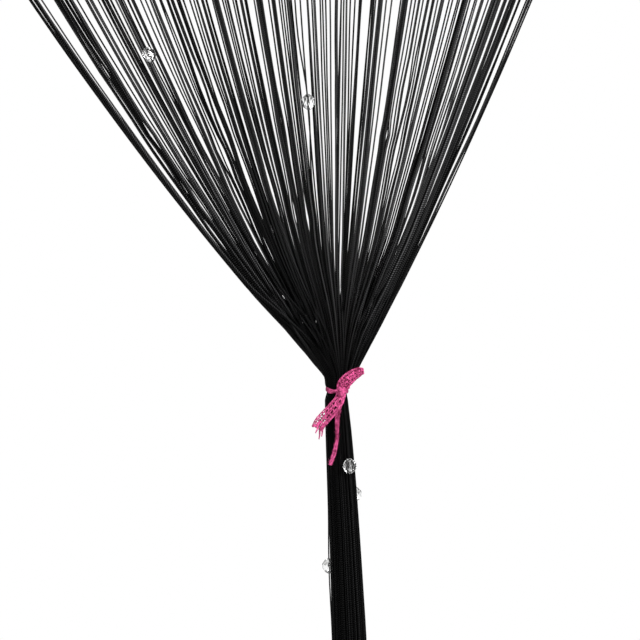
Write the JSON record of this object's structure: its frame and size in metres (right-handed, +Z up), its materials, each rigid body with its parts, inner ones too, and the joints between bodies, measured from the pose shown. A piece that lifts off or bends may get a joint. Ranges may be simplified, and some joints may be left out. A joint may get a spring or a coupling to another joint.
{
  "type": "tassel string curtain",
  "caption": "Hanging string curtain: fine strings fan down from a flat heading band to a ribbon tie at one side, and hang on below it as one loose bundle.",
  "frame": {"origin": "middle of the heading band's top edge, half way through its thickness", "axes": "+Z up, +X to the right seen from the front, +Y towards the back; the front, with the knot, faces -Y"},
  "size_m": [0.9, 0.0244, 2],
  "materials": {
    "yarn": "black twisted yarn with a slight sheen",
    "band": "black woven band, matt",
    "ribbon": "hot pink openwork ribbon",
    "bead": "clear and faceted"
  },
  "bodies": {
    "root": {"heading": "band", "strings": "yarn", "tie": "ribbon"}
  },
  "joints": []
}
